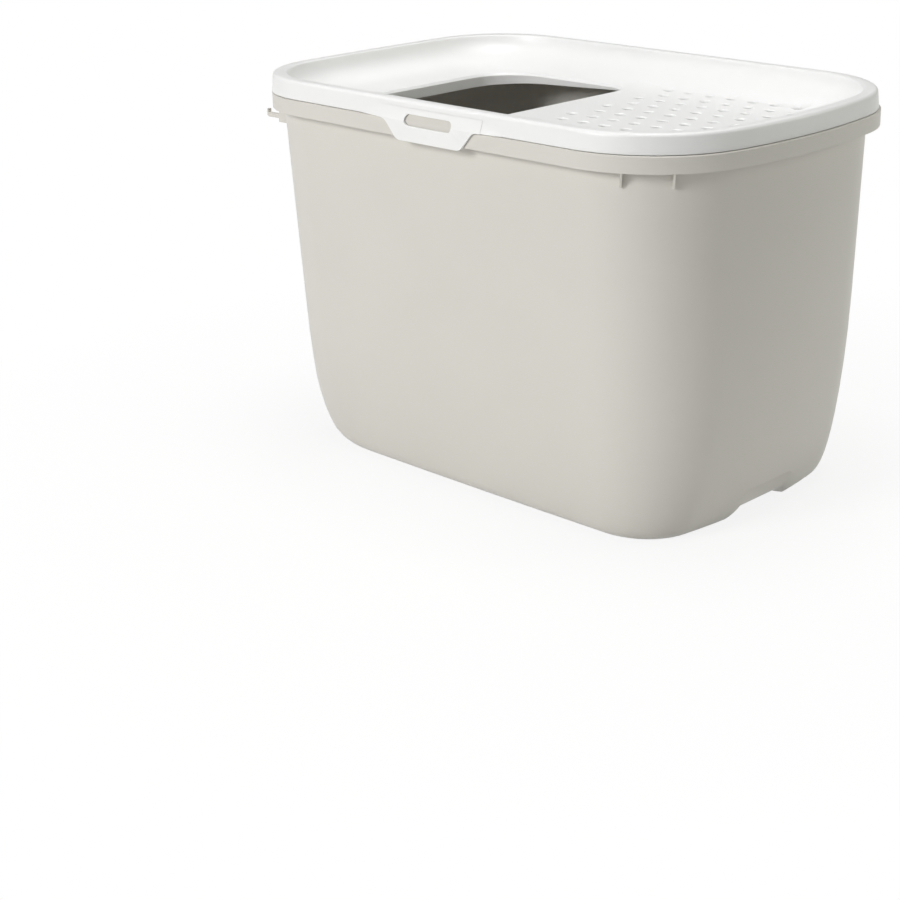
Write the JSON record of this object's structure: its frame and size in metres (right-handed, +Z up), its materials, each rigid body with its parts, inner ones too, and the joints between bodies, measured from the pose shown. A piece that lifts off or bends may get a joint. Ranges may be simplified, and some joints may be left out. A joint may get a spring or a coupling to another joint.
{
  "type": "top entry litter box",
  "caption": "Tall rounded plastic litter tub with a lift-off lid; the dished lid has an entry opening and a grid of draining holes.",
  "frame": {"origin": "on the floor, under the middle of the lid's length and width", "axes": "+X along the length towards the draining grid, -Y towards the long side next to the scoop hook, +Z up"},
  "size_m": [0.6089, 0.3972, 0.395],
  "materials": {
    "tub_plastic": "fine satin moulded texture",
    "lid_plastic": "smooth satin"
  },
  "bodies": {
    "tub_body": {"tub": "tub_plastic", "scoop_hook": "tub_plastic"},
    "lid_body": {"lid": "lid_plastic"},
    "front_tab": {"front_grip_tab": "lid_plastic"},
    "rear_tab": {"rear_grip_tab": "lid_plastic"}
  },
  "joints": [
    {"name": "lid_lift", "type": "slide", "parent": "tub_body", "child": "lid_body", "axis": [0, 0, 1], "range_m": [0, 0.06]},
    {"name": "front_tab_flex", "type": "hinge", "parent": "lid_body", "child": "front_tab", "pos_m": [0, -0.19424, 0.388], "axis": [-1, 0, 0], "range_deg": [0, 12], "stiffness_Nm_per_rad": 0.2},
    {"name": "rear_tab_flex", "type": "hinge", "parent": "lid_body", "child": "rear_tab", "pos_m": [0, 0.19424, 0.388], "axis": [1, 0, 0], "range_deg": [0, 12], "stiffness_Nm_per_rad": 0.2}
  ]
}
